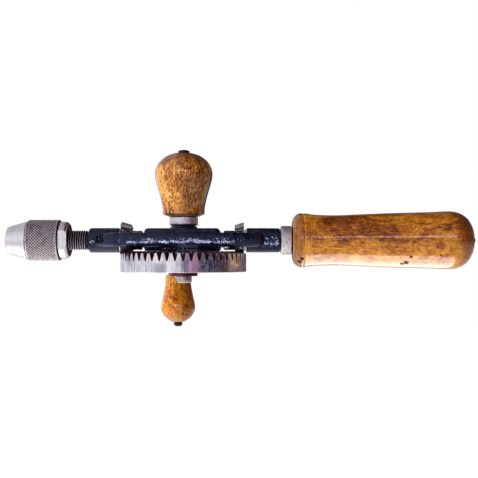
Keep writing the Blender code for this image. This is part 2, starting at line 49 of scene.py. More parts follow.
# Driving sizes, the same as the CAD model's.
GAP = 0.3
GEAR_TEETH = 52
GEAR_RADIUS = 42.0
GEAR_FACE_INNER = 34.5
GEAR_TIP_Z = -8.9
GEAR_ROOT_Z = -13.8
GEAR_BOTTOM_Z = -21.2
GEAR_TIP_HALF = 0.785
GEAR_FLANK = math.tan(math.radians(14.5))
AXLE_RADIUS = 5.0
SPINDLE_RADIUS = 4.75
IDLER_AXLE_RADIUS = 3.0
ROD_RADIUS = 3.0
ROD_END_RADIUS = 2.1
STUD_RADIUS = 3.2
PIN_RADIUS = 2.4
CROSS_PIN_X = -31.4
THREAD_RADIUS = 6.6
CHUCK_NOSE_X = -118.0
JAW_RADIUS = 2.05
JAW_TILT = math.radians(15.0)
JAW_TIP_X = -114.2
JAW_TIP_OFFSET = 4.15
ARM_ANGLE = math.radians(98.0)
ARM_LENGTH = 57.0
ARM_HUB_RADIUS = 9.35
ARM_END_RADIUS = 7.2
ARM_BOTTOM_Z = -24.0
ARM_TOP_Z = -22.0
KNOB_AXIS = (ARM_LENGTH * math.cos(ARM_ANGLE), ARM_LENGTH * math.sin(ARM_ANGLE))
RIVET_RING = 7.6
RIVET_RADIUS = 1.25
RIVET_ANGLES = (ARM_ANGLE - math.radians(35.0), ARM_ANGLE + math.radians(35.0))
WEB_HOLES = 5
WEB_HOLE_RING = 22.6
WEB_HOLE_RADIUS = 7.6

# Details that the CAD model leaves plain: the spindle's thread, and the knurl, whose diamonds have a count
# round the sleeve, a pitch along it and a depth.
THREAD_PITCH = 1.5
THREAD_CORE = 5.72
THREAD_START = -92.8
THREAD_END = -63.9
KNURL_COUNT = 44
KNURL_PITCH = 1.96
KNURL_DEPTH = 0.5
KNURL_START = -103.1
KNURL_END = -83.45
KNURL_RADIUS = 13.75

FLOOR_Z = -420.0
FLOOR_REACH = 4000.0


# ---------------------------------------------------------------- meshes


def new_object(name, points, faces, sharp=32.0):
    """An object from points in millimetres."""
    data = bpy.data.meshes.new(name)
    data.from_pydata([tuple(p) for p in np.asarray(points, float) * MM], [], [tuple(f) for f in faces])
    data.validate()
    made = bpy.data.objects.new(name, data)
    bpy.context.scene.collection.objects.link(made)
    mesh = bmesh.new()
    mesh.from_mesh(data)
    bmesh.ops.recalc_face_normals(mesh, faces=mesh.faces)
    mesh.to_mesh(data)
    mesh.free()
    data.shade_smooth()
    data.set_sharp_from_angle(angle=math.radians(sharp))
    return made


def grid_faces(rows, columns, close_rows):
    """Quads of a grid whose columns run round an axis, and whose rows may close too."""
    faces = []
    for i in range(rows if close_rows else rows - 1):
        for j in range(columns):
            a = i * columns + j
            b = i * columns + (j + 1) % columns
            c = ((i + 1) % rows) * columns + (j + 1) % columns
            d = ((i + 1) % rows) * columns + j
            faces.append((a, b, c, d))
    return faces


def rounded(profile, fillet=0.3, steps=4):
    """Rounds the corners of a profile. A point may carry its own radius as a third number."""
    made = []
    last = len(profile) - 1
    for i, point in enumerate(profile):
        radius = point[2] if len(point) > 2 else fillet
        here = np.array(point[:2], float)
        if i in (0, last) or radius == 0:
            made.append(tuple(here))
            continue
        before = np.array(profile[i - 1][:2], float) - here
        after = np.array(profile[i + 1][:2], float) - here
        reach = min(radius, 0.45 * np.linalg.norm(before), 0.45 * np.linalg.norm(after))
        start = here + before / np.linalg.norm(before) * reach
        end = here + after / np.linalg.norm(after) * reach
        for k in range(steps + 1):
            t = k / steps
            made.append(tuple((1 - t) ** 2 * start + 2 * t * (1 - t) * here + t * t * end))
    return made


def splined(profile, steps=5):
    """A smooth line through the points of a profile."""
    points = [np.array(p[:2], float) for p in profile]
    ends = [2 * points[0] - points[1]] + points + [2 * points[-1] - points[-2]]
    made = []
    for i in range(len(points) - 1):
        p0, p1, p2, p3 = ends[i : i + 4]
        for k in range(steps):
            t = k / steps
            made.append(
                tuple(
                    0.5
                    * (
                        2 * p1
                        + (p2 - p0) * t
                        + (2 * p0 - 5 * p1 + 4 * p2 - p3) * t * t
                        + (3 * p1 - p0 - 3 * p2 + p3) * t ** 3
                    )
                )
            )
    made.append(tuple(points[-1]))
    return made


def ring_points(x, out, turn):
    """Points round the X axis, whose distance from it may change with the turn."""
    return np.stack([np.full(len(turn), x), out * np.sin(turn), out * np.cos(turn)], axis=1)


def turned(name, profile, axis, segments=96, centre=(0.0, 0.0), closed=False, sharp=32.0):
    """A turned piece. The profile is (along, out); when closed, it is a loop clear of the axis."""
    profile = np.array([p[:2] for p in profile], float)
    turn = np.arange(segments) * 2 * math.pi / segments
    along = np.repeat(profile[:, 0], segments)
    out = np.repeat(profile[:, 1], segments)
    angle = np.tile(turn, len(profile))
    if axis == "X":
        points = np.stack([along, out * np.sin(angle), out * np.cos(angle)], axis=1)
    else:
        points = np.stack([centre[0] + out * np.cos(angle), centre[1] + out * np.sin(angle), along], axis=1)
    faces = grid_faces(len(profile), segments, closed)
    if not closed:
        faces.append(tuple(range(segments)))
        faces.append(tuple(range(len(points) - segments, len(points))))
    return new_object(name, points, faces, sharp)


def modified(made, *steps):
    """Applies modifiers, given as (type, settings), and keeps the result as plain mesh."""
    for kind, settings in steps:
        added = made.modifiers.new(kind.title(), kind)
        for key, value in settings.items():
            setattr(added, key, value)
    graph = bpy.context.evaluated_depsgraph_get()
    data = bpy.data.meshes.new_from_object(made.evaluated_get(graph))
    made.modifiers.clear()
    made.data = data
    return made


def cut_away(made, cutter):
    """Takes the cutter out of a piece and removes the cutter."""
    modified(made, ("BOOLEAN", {"operation": "DIFFERENCE", "solver": "EXACT", "object": cutter}))
    bpy.data.objects.remove(cutter)
    return made


def box_object(low, high, matrix=None):
    """A box between two corners, turned by the matrix."""
    corners = [(x, y, z) for x in (low[0], high[0]) for y in (low[1], high[1]) for z in (low[2], high[2])]
    if matrix is not None:
        corners = [tuple(matrix @ Vector(c)) for c in corners]
    faces = [(0, 1, 3, 2), (4, 6, 7, 5), (0, 4, 5, 1), (2, 3, 7, 6), (0, 2, 6, 4), (1, 5, 7, 3)]
    return new_object("cutter", corners, faces)


def rod_object(axis, start, end, radius, centre=(0.0, 0.0), segments=64):
    """A plain rod, for cutting bores."""
    profile = [(start, radius), (end, radius)]
    return turned("cutter", profile, axis, segments, centre)


def soften(made, width=0.35, segments=3, angle=40.0):
    """Rounds the sharp edges of a piece."""
    bevel = {
        "width": width * MM,
        "segments": segments,
        "limit_method": "ANGLE",
        "angle_limit": math.radians(angle),
        "harden_normals": True,
    }
    modified(made, ("WELD", {"merge_threshold": 1e-6}), ("BEVEL", bevel))
    return made


# ---------------------------------------------------------------- materials


class Graph:
    """The node graph of a material or a world, with short ways to add nodes."""

    def __init__(self, name, world=False):
        self.owner = (bpy.data.worlds if world else bpy.data.materials).new(name)
        self.owner.use_nodes = True
        self.tree = self.owner.node_tree
        self.shader = self.tree.nodes["Background" if world else "Principled BSDF"]

    def add(self, kind, settings=None, **inputs):
        made = self.tree.nodes.new("ShaderNode" + kind)
        for key, value in (settings or {}).items():
            setattr(made, key, value)
        for key, value in inputs.items():
            self.put(made, key, value)
        return made

    def put(self, node, key, value):
        """Sets or links an input, named with _ for a space, or numbered as i0, i1 and so on."""
        numbered = key[0] == "i" and key[1:].isdigit()
        socket = node.inputs[int(key[1:]) if numbered else key.replace("_", " ")]
        if isinstance(value, bpy.types.NodeSocket):
            self.tree.links.new(value, socket)
        elif isinstance(value, tuple) and len(value) == 3 and socket.type == "RGBA":
            socket.default_value = (*value, 1.0)
        else:
            socket.default_value = value

    def set(self, **inputs):
        for key, value in inputs.items():
            self.put(self.shader, key, value)

    def place(self, scale=(1000.0, 1000.0, 1000.0), move=(0.0, 0.0, 0.0)):
        """Object coordinates, in millimetres unless another scale is given, and moved."""
        coordinates = self.add("TexCoord").outputs["Object"]
        return self.add("Mapping", Vector=coordinates, Scale=scale, Location=move).outputs[0]

    def noise(self, vector, scale, detail=4.0, rough=0.5, distort=0.0):
        """Fractal noise from 0 to 1."""
        made = self.add("TexNoise", Vector=vector, Scale=scale, Detail=detail)
        self.put(made, "Roughness", rough)
        self.put(made, "Distortion", distort)
        return made.outputs["Fac"]

    def distance(self, place):
        """Distance from a place, in millimetres."""
        return self.add("VectorMath", {"operation": "DISTANCE"}, i0=self.place(), i1=place).outputs["Value"]

    def math(self, operation, a, b=0.5):
        return self.add("Math", {"operation": operation}, i0=a, i1=b).outputs[0]

    def ramp(self, value, stops):
        """Colours along a value, from stops given as (place, colour)."""
        made = self.add("ValToRGB", Fac=value)
        elements = made.color_ramp.elements
        while len(elements) < len(stops):
            elements.new(0.5)
        for element, (place, colour) in zip(elements, stops):
            element.position = place
            element.color = (*colour, 1.0)
        return made.outputs["Color"]

    def mix(self, factor, a, b):
        made = self.add("Mix", {"data_type": "RGBA"})
        self.put(made, "i0", factor)
        self.put(made, "i6", a)
        self.put(made, "i7", b)
        return made.outputs[2]

    def fit(self, value, low, high, new_low=0.0, new_high=1.0):
        """The value's range from low to high, stretched over the new one and kept inside it."""
        made = self.add("MapRange", {"clamp": True}, Value=value)
        self.put(made, "i1", low)
        self.put(made, "i2", high)
        self.put(made, "i3", new_low)
        self.put(made, "i4", new_high)
        return made.outputs[0]

    def bump(self, height, strength, distance, under=None):
        made = self.add("Bump", Height=height, Strength=strength, Distance=distance * MM)
        if under is not None:
            self.put(made, "Normal", under)
        return made.outputs[0]

    def split(self, vector):
        return self.add("SeparateXYZ", Vector=vector).outputs

    def radius(self, axis="X"):
        """Distance from the turning axis and place along it, both in millimetres."""
        x, y, z = self.split(self.place())
        across, up, along = (y, z, x) if axis == "X" else (x, y, z)
        squares = self.math("ADD", self.math("MULTIPLY", across, across), self.math("MULTIPLY", up, up))
        return self.math("SQRT", squares), along


def stretched(axis, along, across):
    """Mapping scales, per metre, for a grain that runs along the axis."""
    scale = [across * 1000.0] * 3
    scale["XYZ".index(axis)] = along * 1000.0
    return tuple(scale)


def wood(name, axis, shades, seed, speckle=0.5, knots=(), tone_and_shade_lean=0.0, ends=None):
    """Varnished turned hardwood: mottled figure, specks, pores and knots given as (place, radius).

    The shades go from dark to pale. The lean makes the wood darker towards +Z for each millimetre, partly as
    its own tone and partly as painted shade on its upper side, and it is darker beyond its ends, two places
    on the axis, as painted shade on the rounded ends that turn away from the light.
    """
    g = Graph(name)
    shift = (seed * 3.1, seed * 1.7, seed * 2.3)
    broad = g.noise(g.place(stretched(axis, 0.030, 0.060), shift), 1.0, 4.0, 0.6, 1.2)
    mottle = g.noise(g.place(stretched(axis, 0.15, 0.24), shift), 1.0, 5.0, 0.66, 1.0)
    specks = g.noise(g.place(stretched(axis, 0.50, 0.70), shift), 1.0, 4.0, 0.70, 0.6)
    fibres = g.noise(g.place(stretched(axis, 0.07, 1.50), shift), 1.0, 5.0, 0.62)
    tone = g.mix(0.50, broad, mottle)
    tone = g.mix(speckle, tone, specks)
    tone = g.mix(0.20, tone, fibres)
    # Partly painted shade: the wood darkens towards +Z, partly as its own tone and partly as shade on its
    # upper side.
    tone = g.math("ADD", tone, g.math("MULTIPLY", g.split(g.place())[2], -tone_and_shade_lean))
    dark, middle, gold, pale = shades
    colour = g.ramp(g.fit(tone, 0.42, 0.58), [(0.06, dark), (0.38, middle), (0.64, gold), (0.96, pale)])
    pores = g.noise(g.place(stretched(axis, 0.20, 2.0), shift), 1.3, 3.0, 0.55)
    colour = g.mix(g.fit(pores, 0.64, 0.74, 0.0, 0.55), colour, tuple(c * 0.4 for c in dark))
    spots = g.noise(g.place(move=(shift[0] + 9.0, shift[1], shift[2])), 0.42, 3.0, 0.6, 0.4)
    colour = g.mix(g.fit(spots, 0.66, 0.74, 0.0, 0.7), colour, tuple(c * 0.5 for c in dark))
    # Painted shade: past its two ends the wood is darkened, standing in for the shade on its rounded ends.
    if ends is not None:
        along = g.split(g.place())["XYZ".index(axis)]
        first = g.fit(along, ends[0] - 1.0, ends[0], 1.0, 0.0)
        second = g.fit(along, ends[1], ends[1] + 8.0)
        end_shade = g.math("MAXIMUM", first, second)
        colour = g.mix(g.math("MULTIPLY", end_shade, 0.62), colour, dark)
    varnish = 1.0
    for place, radius in knots:
        near = g.math("ADD", g.distance(place), g.fit(specks, 0.3, 0.7, -0.4 * radius, 0.4 * radius))
        colour = g.mix(g.fit(near, 0.7 * radius, radius, 0.96, 0.0), colour, tuple(c * 0.08 for c in dark))
        varnish = g.math("MULTIPLY", varnish, g.fit(near, 0.7 * radius, radius, 0.0, 1.0))
    g.set(Base_Color=colour, Metallic=0.0, IOR=1.5)
    g.set(Roughness=g.fit(g.mix(0.5, mottle, fibres), 0.3, 0.7, 0.32, 0.52))
    g.set(Coat_Weight=varnish, Specular_IOR_Level=0.1, Coat_Roughness=0.05, Coat_IOR=1.5)
    fine = g.bump(g.mix(0.4, fibres, specks), 0.16, 0.12)
    waves = g.noise(g.place(move=shift), 0.11, 3.0, 0.5)
    g.set(Normal=g.bump(waves, 0.30, 1.0, fine))
    ripple = g.mix(0.35, waves, g.noise(g.place(move=shift), 0.6, 3.0, 0.6))
    g.set(Coat_Normal=g.bump(ripple, 0.22, 0.7))
    return g.owner


def enamel(name, deep, pale, sheen, seed, lump):
    """Glossy paint over a rough casting or a strip. The sheen colours what it reflects.

    The lump is how strongly the surface under the paint shows.
    """
    g = Graph(name)
    shift = (seed * 2.1, seed * 1.3, seed * 0.7)
    spots = g.noise(g.place(move=shift), 0.20, 5.0, 0.62)
    dust = g.noise(g.place(move=shift), 1.6, 4.0, 0.7)
    colour = g.mix(g.fit(spots, 0.40, 0.62), deep, pale)
    colour = g.mix(g.fit(dust, 0.64, 0.76, 0.0, 0.4), colour, tuple(min(1.0, c * 3.0 + 0.02) for c in pale))
    g.set(Base_Color=colour, Metallic=0.0, IOR=1.5, Specular_Tint=(*sheen, 1.0))
    g.set(Roughness=g.fit(g.mix(0.4, spots, dust), 0.35, 0.65, 0.06, 0.16))
    casting = g.bump(g.noise(g.place(move=shift), 0.26, 3.0, 0.55), lump, 1.0)
    peel = g.bump(g.noise(g.place(move=shift), 0.8, 3.0, 0.6), 0.5 * lump + 0.08, 0.22, casting)
    g.set(Normal=peel)
    return g.owner


def turned_steel(name, axis, dark, light, rough, seed, rings=1.0, recess_shade=None):
    """Bare metal with turning marks round the axis, blots and specks.

    Rough is the range of its roughness, and rings how deep the marks are. The last argument, given as
    (place, radius), paints shadow: it blackens the metal past that place along the axis and inside that
    radius, where the recessed face lies in shade.
    """
    g = Graph(name)
    out, along = g.radius(axis)
    marks_at = g.add("CombineXYZ", X=along, Y=out, Z=seed * 1.37).outputs[0]
    marks = g.noise(marks_at, 4.2, 4.0, 0.7)
    bands = g.noise(marks_at, 0.45, 2.0, 0.5)
    blot = g.noise(g.place(move=(seed, seed * 2.0, 0.0)), 0.18, 5.0, 0.65)
    specks = g.noise(g.place(move=(0.0, seed, seed * 2.0)), 1.6, 5.0, 0.7)
    tone = g.mix(0.45, g.mix(0.5, marks, bands), g.mix(0.4, blot, specks))
    colour = g.mix(g.fit(tone, 0.36, 0.62), dark, light)
    # Painted shadow: the recessed rear face is blackened where it lies in shade next to the thread.
    if recess_shade is not None:
        place, radius = recess_shade
        inside = g.math("LESS_THAN", g.math("ADD", out, g.fit(specks, 0.3, 0.7, -0.2, 0.2)), radius)
        past = g.math("GREATER_THAN", along, place)
        colour = g.mix(g.math("MULTIPLY", inside, past), colour, (0.012, 0.010, 0.010))
    g.set(Base_Color=colour, Metallic=1.0)
    g.set(Roughness=g.fit(g.mix(0.5, marks, specks), 0.35, 0.65, rough[0], rough[1]))
    fine = g.bump(marks, 0.10 * rings, 0.05)
    g.set(Normal=g.bump(specks, 0.06, 0.05, fine))
    return g.owner


def grooved_steel(name, shaded_valley, crest, low, high, rough, seed, brown=None):
    """Metal with painted shade in its grooves: its colour follows the distance from the X axis, from low to
    high.
    """
    g = Graph(name)
    out, _ = g.radius()
    blot = g.noise(g.place(move=(seed, 0.0, seed)), 0.24, 5.0, 0.65)
    specks = g.noise(g.place(move=(0.0, seed, 0.0)), 1.5, 4.0, 0.7)
    height = g.fit(g.math("ADD", out, g.fit(specks, 0.3, 0.7, -0.07, 0.07)), low, high)
    # Painted shade: the colour goes dark in the grooves' valleys, where shade falls.
    colour = g.mix(height, shaded_valley, crest)
    if brown is not None:
        colour = g.mix(g.fit(blot, 0.50, 0.72, 0.0, 0.75), colour, brown)
    g.set(Base_Color=colour, Metallic=1.0)
    g.set(Roughness=g.fit(g.mix(0.5, height, specks), 0.2, 0.8, rough[1], rough[0]))
    g.set(Normal=g.bump(specks, 0.16, 0.06))
    return g.owner


def cast_metal(name, dark, light, seed):
    """Rough sand-cast aluminium."""
    g = Graph(name)
    shift = (seed * 1.9, seed, seed * 2.3)
    lumps = g.noise(g.place(move=shift), 0.65, 5.0, 0.65)
    grain = g.noise(g.place(move=shift), 2.6, 4.0, 0.7)
    tone = g.mix(0.45, lumps, grain)
    g.set(Base_Color=g.mix(g.fit(tone, 0.36, 0.60), dark, light), Metallic=1.0)
    g.set(Roughness=g.fit(tone, 0.35, 0.65, 0.24, 0.44))
    rough = g.bump(lumps, 0.75, 0.55)
    g.set(Normal=g.bump(grain, 0.4, 0.12, rough))
    return g.owner


def plated_rim(name):
    """The gear's rim: bright plate on its outer face, and dark red paint on and between its teeth."""
    g = Graph(name)
    out, _ = g.radius("Z")
    scratches = g.noise(g.place((900.0, 900.0, 40.0)), 1.0, 5.0, 0.65)
    blot = g.noise(g.place(), 0.10, 4.0, 0.6)
    grain = g.noise(g.place(), 1.1, 4.0, 0.7)
    # The plate's light and dark streaks are partly its own wear and partly painted reflection; the brown
    # flecks in the next two lines are painted reflection of the wooden grips.
    plate = g.mix(g.fit(g.mix(0.5, scratches, blot), 0.40, 0.58), (0.50, 0.47, 0.54), (0.97, 0.96, 1.0))
    plate = g.mix(g.fit(grain, 0.60, 0.74, 0.0, 0.55), plate, (0.24, 0.14, 0.13))
    plate = g.mix(g.fit(blot, 0.60, 0.74, 0.0, 0.6), plate, (0.26, 0.15, 0.11))
    # A darker bluish patch at one spot on the rim's front.
    dark_patch = g.distance((-12.0, -40.2, -19.5))
    plate = g.mix(g.fit(dark_patch, 1.5, 6.0, 0.6, 0.0), plate, (0.20, 0.18, 0.26))
    paint = g.mix(g.fit(grain, 0.4, 0.65), (0.012, 0.002, 0.004), (0.13, 0.010, 0.018))
    bare = g.fit(g.math("ADD", out, g.fit(grain, 0.3, 0.7, -0.12, 0.12)), 41.62, 41.80)
    g.set(Base_Color=g.mix(bare, paint, plate), Metallic=bare)
    smooth = g.fit(g.mix(0.5, scratches, grain), 0.35, 0.65, 0.10, 0.24)
    g.set(Roughness=g.mix(bare, (0.35, 0.35, 0.35), smooth))
    fine = g.bump(scratches, 0.08, 0.06)
    g.set(Normal=g.bump(blot, 0.35, 0.8, fine))
    return g.owner


# ---------------------------------------------------------------- pieces


def finish_piece(made, material, body, slot, *nodes):
    """Gives a piece its finish and its body, and hides the CAD nodes that it stands for. The slot is not
    used.
    """
    made.data.materials.clear()
    made.data.materials.append(material)
    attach(made, body)
    if nodes:
        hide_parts(*nodes)
    return made


def dress_node(name, material, steps=()):
    """Keeps a CAD node as it is, with a finish and modifiers."""
    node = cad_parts[name]
    node.data.materials.clear()
    node.data.materials.append(material)
    for kind, settings in steps:
        added = node.modifiers.new(kind.title(), kind)
        for key, value in settings.items():
            setattr(added, key, value)
    return node


def crisp(width):
    """Modifiers that merge a CAD node's triangles and round its edges."""
    weld = ("WELD", {"merge_threshold": 2e-6})
    flatten = ("DECIMATE", {"decimate_type": "DISSOLVE", "angle_limit": math.radians(1.0)})
    bevel = {"width": width * MM, "segments": 3, "limit_method": "ANGLE", "angle_limit": math.radians(32)}
    return [weld, flatten, ("BEVEL", bevel), ("WEIGHTED_NORMAL", {"keep_sharp": True})]


def build_frame(material):
    """The casting: its CAD node, remeshed and smoothed so that its edges are soft."""
    steps = [
        ("WELD", {"merge_threshold": 2e-6}),
        ("REMESH", {"mode": "VOXEL", "voxel_size": 0.34 * MM, "use_smooth_shade": True}),
        ("SMOOTH", {"factor": 0.5, "iterations": 7}),
    ]
    return dress_node("frame_casting", material, steps)


def build_main_handle(material):
    outside = [
        (72.9, 9.6), (73.1, 12.4), (73.9, 15.0), (75.3, 16.75), (77.0, 17.8), (78.6, 18.2), (79.5, 18.15),
        (80.1, 17.7), (80.7, 18.1), (82.0, 18.05), (84.0, 17.75), (88.5, 17.2), (95.0, 16.9),
        (104.0, 16.85), (116.0, 17.35), (128.0, 17.85), (140.0, 18.3), (152.0, 18.65), (164.0, 18.95),
        (172.0, 19.3), (178.0, 19.5), (181.5, 19.2), (184.6, 18.4), (187.4, 17.0), (189.8, 15.0),
        (191.8, 12.2), (193.3, 8.8), (194.3, 5.0),
    ]
    bore = ROD_RADIUS + GAP
    end_bore = ROD_END_RADIUS + GAP
    start = [(120.0, bore), (72.9, bore)]
    end = [(194.6, end_bore), (186.0, end_bore), (185.5, bore)]
    profile = start + splined(outside) + end
    made = turned("main_handle_turned", profile, "X", 128, closed=True)
    return finish_piece(made, material, "frame", "handle_wood", "main_handle")


def build_side_knob(material):
    outside = [
        (16.0, 10.4), (16.7, 12.3), (17.4, 13.7), (17.9, 13.98), (19.0, 14.0), (21.5, 14.15), (25.5, 14.85),
        (30.0, 15.95), (34.5, 17.25), (38.5, 18.4), (41.5, 19.1), (44.2, 19.35), (46.6, 19.15),
        (49.2, 18.35), (51.8, 16.95), (54.0, 15.0), (55.9, 12.6), (57.3, 9.9), (58.4, 6.4),
    ]
    bore = STUD_RADIUS + GAP
    profile = [(40.0, bore), (16.0, bore)] + splined(outside) + [(58.8, bore)]
    made = turned("side_handle_turned", profile, "Z", 128, closed=True)
    return finish_piece(made, material, "frame", "handle_wood", "side_handle_knob")


def build_crank_knob(material):
    outside = [
        (-24.3, 8.2), (-24.75, 8.95), (-26.0, 9.35), (-29.0, 9.25), (-33.0, 9.7), (-37.0, 10.45),
        (-41.0, 11.25), (-44.5, 12.05), (-47.5, 12.55), (-50.0, 12.45), (-52.5, 11.55), (-54.9, 10.0),
        (-56.9, 7.9), (-58.4, 5.6), (-59.1, 4.0),
    ]
    bore = PIN_RADIUS + GAP
    profile = [(-40.0, bore), (-24.3, bore)] + splined(outside) + [(-59.3, bore)]
    made = turned("crank_knob_turned", profile, "Z", 96, KNOB_AXIS, closed=True)
    return finish_piece(made, material, "crank_knob", "knob_wood", "crank_knob")


def build_ferrule(name, axis, start, end, bore, material, node):
    """A cast collar with rounded edges."""
    middle = 0.5 * (start + end)
    profile = [
        (middle, bore, 0.0), (start, bore, 0.2), (start, 8.9, 0.5), (start + 0.7, 9.65, 0.7),
        (end - 0.5, 9.65, 0.6), (end, 9.0, 0.4), (end, bore, 0.2),
    ]
    made = turned(name, rounded(profile), axis, 96, closed=True)
    finish_piece(made, material, "frame", "cast_aluminium", node)


def knurl_height(turn, along):
    """Diamond knurl, from 0 in the grooves to 1 on the flats."""
    first = (turn * KNURL_COUNT / (2 * math.pi) + along / KNURL_PITCH) % 1.0
    second = (turn * KNURL_COUNT / (2 * math.pi) - along / KNURL_PITCH) % 1.0
    ridge_a = 1.0 - np.abs(first - 0.5) * 2.0
    ridge_b = 1.0 - np.abs(second - 0.5) * 2.0
    return np.clip(np.minimum(ridge_a, ridge_b) * 1.5, 0.0, 1.0)


def build_chuck_sleeve(smooth, knurled):
    """The sleeve in two pieces that share a hidden seam: the smooth nose cone and the knurled band."""
    nose = [
        (-104.4, 11.1, 0.0), (-104.4, 12.65, 0.0), (-105.6, 12.55, 0.3), (CHUCK_NOSE_X + 1.0, 9.35, 1.2),
        (CHUCK_NOSE_X, 8.5, 0.5), (CHUCK_NOSE_X, 6.9, 0.25), (-103.6, 11.4, 0.0),
    ]
    made = turned("chuck_nose_cone", rounded(nose, 0.2, 5), "X", 128, closed=True)
    finish_piece(made, smooth, "chuck_sleeve", "chuck_steel")
    front = [(-103.6, 11.42), (-104.35, 11.5), (-104.35, 12.95), (-104.1, 13.2), (-103.6, 13.5)]
    back = [(-83.2, 13.6), (-82.9, 13.3), (-82.8, 13.1), (-82.8, 11.6), (-83.0, 11.4)]
    segments = KNURL_COUNT * 10
    turn = np.arange(segments) * 2 * math.pi / segments
    rings = [(x, np.full(segments, out)) for x, out in front]
    for share in np.linspace(0.0, 1.0, 106):
        x = KNURL_START + share * (KNURL_END - KNURL_START)
        fade = max(0.0, min(1.0, (x - KNURL_START) / 0.5, (KNURL_END - x) / 0.5))
        rings.append((x, KNURL_RADIUS - (1.0 - knurl_height(turn, x)) * KNURL_DEPTH * fade))
    rings += [(x, np.full(segments, out)) for x, out in back]
    points = [ring_points(x, out, turn) for x, out in rings]
    faces = grid_faces(len(rings), segments, True)
    band = new_object("chuck_knurled_band", np.concatenate(points), faces, 60.0)
    finish_piece(band, knurled, "chuck_sleeve", "chuck_steel", "chuck_sleeve")


def build_spindle(plain, threaded):
    """The spindle in two pieces: the plain journal and the threaded nose."""
    collar_radius = 5.6
    journal = [
        (-64.6, 0.3), (-64.6, collar_radius, 0.0), (-63.7, collar_radius, 0.0), (-63.6, SPINDLE_RADIUS, 0.0),
        (-18.8, SPINDLE_RADIUS, 0.2), (-18.3, 4.3, 0.2), (-18.3, 0.3),
    ]
    made = turned("spindle_journal", rounded(journal, 0.1), "X", 72)
    made = cut_away(made, rod_object("Z", -9.0, 9.0, 1.5, (CROSS_PIN_X, 0.0), 40))
    finish_piece(made, plain, "spindle", "dark_steel", "spindle")
    segments = 96
    turn = np.arange(segments) * 2 * math.pi / segments
    points = []
    stations = np.arange(THREAD_START, THREAD_END - 0.1, THREAD_PITCH / 12)
    for x in stations:
        phase = (x / THREAD_PITCH - turn / (2 * math.pi)) % 1.0
        flank = np.clip((1.0 - np.abs(phase - 0.5) * 2.0) * 1.35 - 0.12, 0.0, 1.0)
        taper = min(1.0, (x - THREAD_START) / 1.2 + 0.15, (THREAD_END - x) / 0.7 + 0.2)
        points.append(ring_points(x, THREAD_CORE + (THREAD_RADIUS - THREAD_CORE) * flank * taper, turn))
    faces = grid_faces(len(stations), segments, False)
    faces.append(tuple(range(segments)))
    faces.append(tuple(range((len(stations) - 1) * segments, len(stations) * segments)))
    made = new_object("spindle_thread", np.concatenate(points), faces, 70.0)
    finish_piece(made, threaded, "spindle", "dark_steel")


def build_chuck_body(material):
    """The chuck's body, with three slanted jaw bores and two spanner flats."""
    profile = [
        (-93.3, 0.4, 0.0), (-93.3, 6.9, 0.2), (-76.7, 6.9, 0.3), (-76.7, 11.0, 0.5), (-78.0, 12.4, 0.7),
        (-82.2, 12.4, 0.3), (-82.5, 12.1, 0.2), (-82.5, 11.1, 0.1), (-103.0, 11.1, 0.4), (-105.3, 10.3, 0.1),
        (-105.3, 7.6, 0.2), (-109.3, 7.6, 0.2), (-109.3, 8.96, 0.2), (-114.5, 7.2, 0.4), (-114.5, 3.4, 0.4),
        (-98.0, 3.4, 0.2), (-98.0, 0.4, 0.0),
    ]
    made = turned("chuck_body_turned", rounded(profile, 0.2, 3), "X", 112)
    jaw_foot = Matrix.Translation((JAW_TIP_X, 0.0, JAW_TIP_OFFSET)) @ Matrix.Rotation(-JAW_TILT, 4, "Y")
    for index in range(3):
        place = Matrix.Rotation(math.radians(120.0 * index), 4, "X") @ jaw_foot
        bore = rod_object("X", -6.0, 20.4, JAW_RADIUS + GAP, segments=40)
        bore.data.transform(Matrix.Scale(MM, 4) @ place @ Matrix.Scale(1 / MM, 4))
        made = cut_away(made, bore)
    for side in (-1, 1):
        low, high = sorted((side * 10.8, side * 16.0))
        made = cut_away(made, box_object((-82.45, low, -20.0), (-70.0, high, 20.0)))
    made.data.shade_smooth()
    made.data.set_sharp_from_angle(angle=math.radians(28))
    finish_piece(made, material, "spindle", "chuck_steel", "chuck_body")


def gear_ring(radius, lower=0.0):
    """The toothed edge at this radius. Its heights shrink towards the origin, as a bevel gear's do."""
    share = radius / GEAR_RADIUS
    pitch = 2 * math.pi / GEAR_TEETH
    root_half = GEAR_TIP_HALF + (GEAR_TIP_Z - GEAR_ROOT_Z) * GEAR_FLANK
    flank = [
        (root_half + 0.22, GEAR_ROOT_Z),
        (root_half - 0.08, GEAR_ROOT_Z + 0.35),
        (GEAR_TIP_HALF + 0.02, GEAR_TIP_Z - 0.12),
        (GEAR_TIP_HALF - 0.14, GEAR_TIP_Z),
    ]
    edge = [(-across, height) for across, height in flank] + flank[::-1]
    points = []
    for tooth in range(GEAR_TEETH):
        for across, height in edge:
            angle = tooth * pitch + math.atan(across / GEAR_RADIUS)
            points.append((radius * math.cos(angle), radius * math.sin(angle), height * share - lower))
    return points


